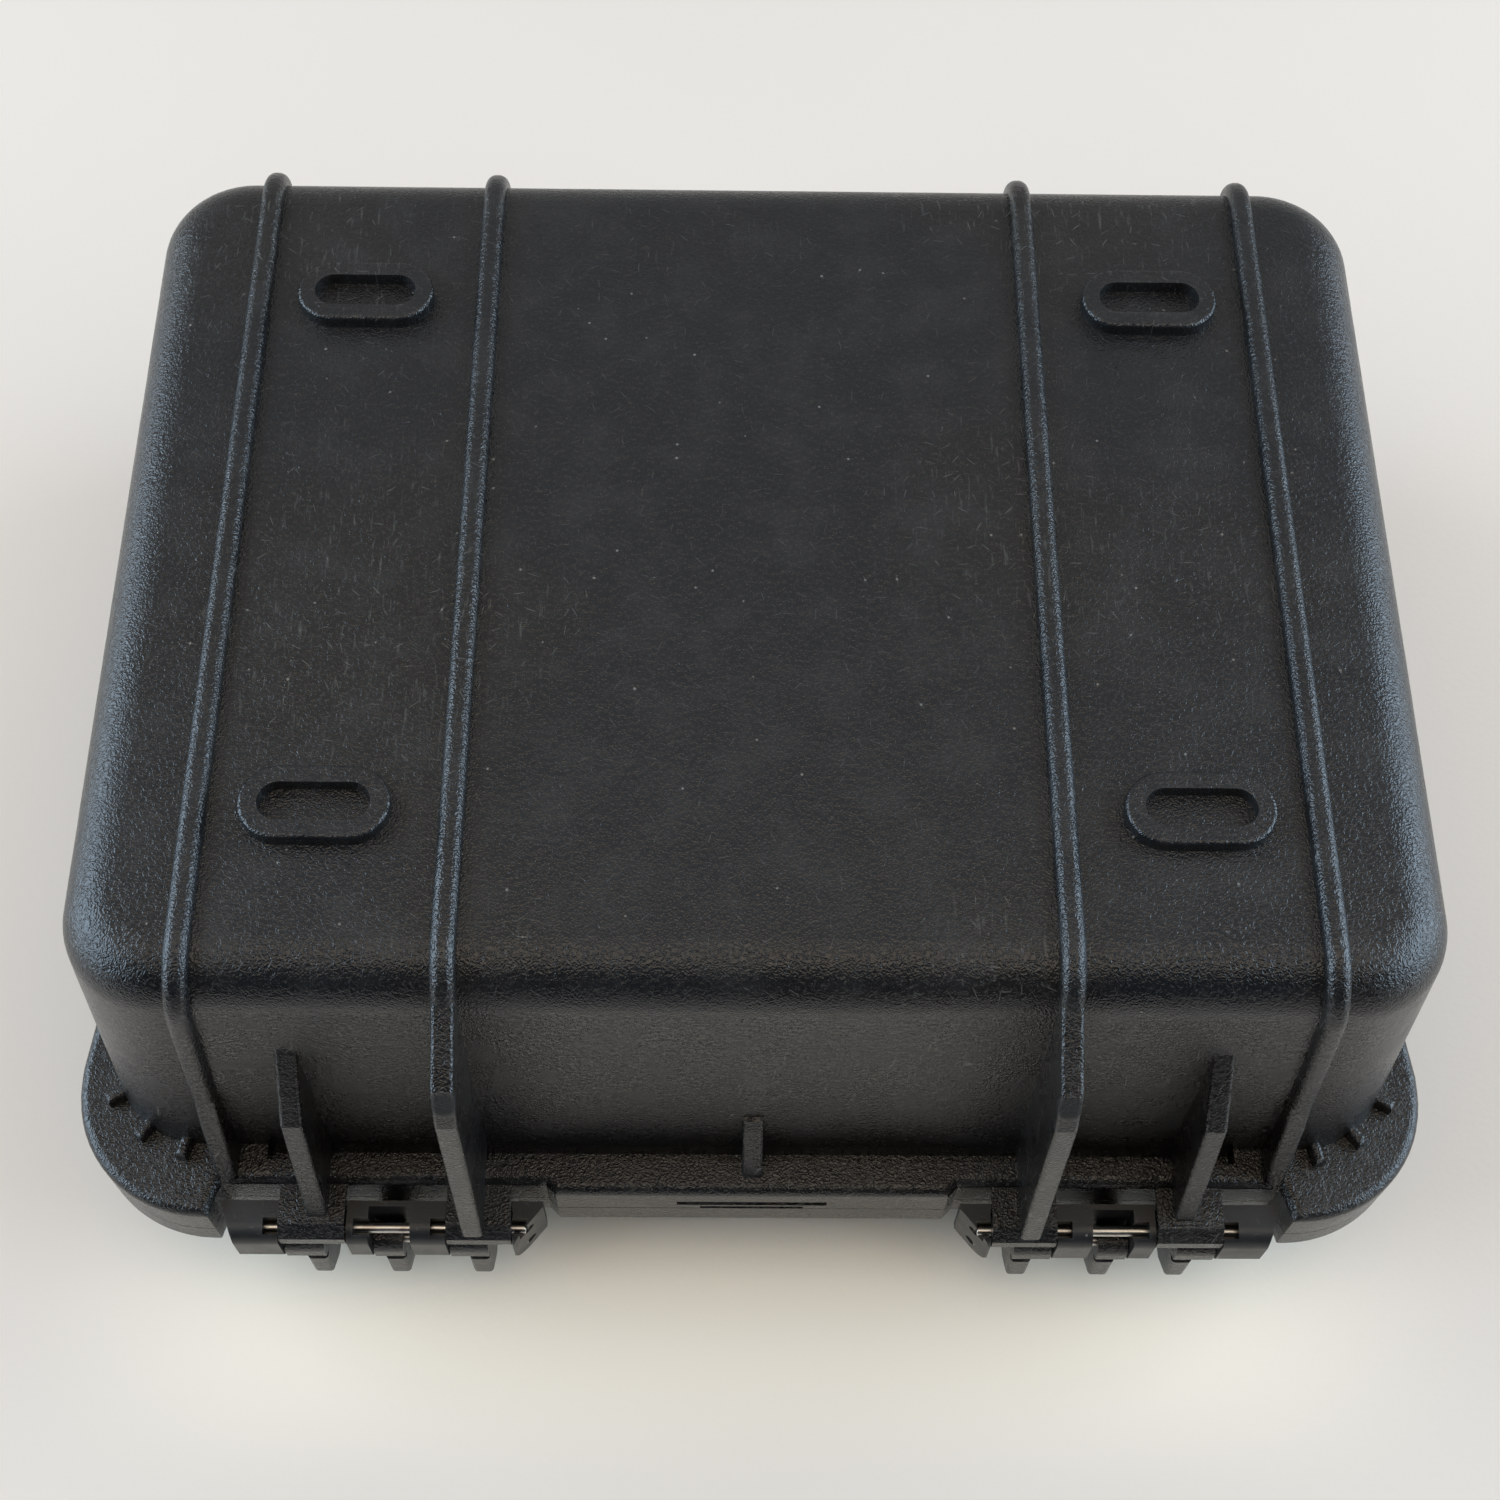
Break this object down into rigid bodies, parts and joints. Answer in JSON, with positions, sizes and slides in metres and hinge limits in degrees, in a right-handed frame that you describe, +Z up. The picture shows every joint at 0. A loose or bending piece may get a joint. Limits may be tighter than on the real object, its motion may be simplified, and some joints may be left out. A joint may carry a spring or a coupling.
{
  "type": "drone carrying case",
  "caption": "Hard moulded carrying case with ribbed shells, dual-pin hinges, draw latches, fold-down handle, pressure valve and cut foam for a folding camera drone.",
  "frame": {"origin": "on the floor under the middle of the case as it stands upside down on its lid", "axes": "+X left to right seen from the hinge side, +Y from the hinges to the latches and handle, +Z up, from the lid to the base's outer face"},
  "size_m": [0.4064, 0.3462, 0.1746],
  "materials": {
    "shell_plastic": "fine leather-grain moulded texture, worn on the ribs",
    "hinge_plastic": "smooth moulded",
    "latch_plastic": "smooth moulded",
    "steel_pin": "bright drawn",
    "seal_rubber": "matte",
    "grip_rubber": "matte, fine ribs",
    "valve_cloth": "woven film",
    "foam": "open-cell foam"
  },
  "bodies": {
    "lid": {"lid_shell": "shell_plastic", "rim_seal": "seal_rubber", "lid_foam": "foam", "lid_hinge_pin_left": "steel_pin", "lid_hinge_pin_right": "steel_pin"},
    "hinge_link_left": {"hinge_link_left": "hinge_plastic"},
    "hinge_link_right": {"hinge_link_right": "hinge_plastic"},
    "base": {"base_shell": "shell_plastic", "base_foam": "foam", "base_foam_pad": "foam", "base_hinge_pin_left": "steel_pin", "base_hinge_pin_right": "steel_pin", "latch_pin_left": "steel_pin", "latch_pin_right": "steel_pin", "handle_pin_left": "steel_pin", "handle_pin_right": "steel_pin", "valve_body": "latch_plastic", "valve_membrane": "valve_cloth", "valve_seal_ring": "seal_rubber", "valve_nut": "latch_plastic"},
    "latch_left": {"latch_body_left": "latch_plastic", "lever_pin_left": "steel_pin"},
    "latch_right": {"latch_body_right": "latch_plastic", "lever_pin_right": "steel_pin"},
    "lever_left": {"latch_lever_left": "latch_plastic"},
    "lever_right": {"latch_lever_right": "latch_plastic"},
    "handle": {"handle_frame": "latch_plastic", "handle_grip": "grip_rubber"}
  },
  "joints": [
    {"name": "hinge_left_on_lid", "type": "hinge", "parent": "lid", "child": "hinge_link_left", "pos_m": [-0.1097, -0.168, 0.043], "axis": [1, 0, 0], "range_deg": [0, 52]},
    {"name": "base_on_hinge", "type": "hinge", "parent": "hinge_link_left", "child": "base", "pos_m": [-0.1097, -0.168, 0.053], "axis": [1, 0, 0], "range_deg": [0, 52]},
    {"name": "hinge_right_on_lid", "type": "hinge", "parent": "lid", "child": "hinge_link_right", "pos_m": [0.1097, -0.168, 0.043], "axis": [1, 0, 0], "range_deg": [0, 52]},
    {"name": "latch_left_swing", "type": "hinge", "parent": "base", "child": "latch_left", "pos_m": [-0.11, 0.161, 0.072], "axis": [1, 0, 0], "range_deg": [0, 110]},
    {"name": "lever_left_pull", "type": "hinge", "parent": "latch_left", "child": "lever_left", "pos_m": [-0.11, 0.16295, 0.044], "axis": [-1, 0, 0], "range_deg": [0, 50]},
    {"name": "latch_right_swing", "type": "hinge", "parent": "base", "child": "latch_right", "pos_m": [0.11, 0.161, 0.072], "axis": [1, 0, 0], "range_deg": [0, 110]},
    {"name": "lever_right_pull", "type": "hinge", "parent": "latch_right", "child": "lever_right", "pos_m": [0.11, 0.16295, 0.044], "axis": [-1, 0, 0], "range_deg": [0, 50]},
    {"name": "handle_swing", "type": "hinge", "parent": "base", "child": "handle", "pos_m": [0, 0.1675, 0.08], "axis": [1, 0, 0], "range_deg": [0, 180]}
  ],
  "couplings": [
    {"joint": "hinge_right_on_lid", "follows": "hinge_left_on_lid", "ratio": 1}
  ]
}
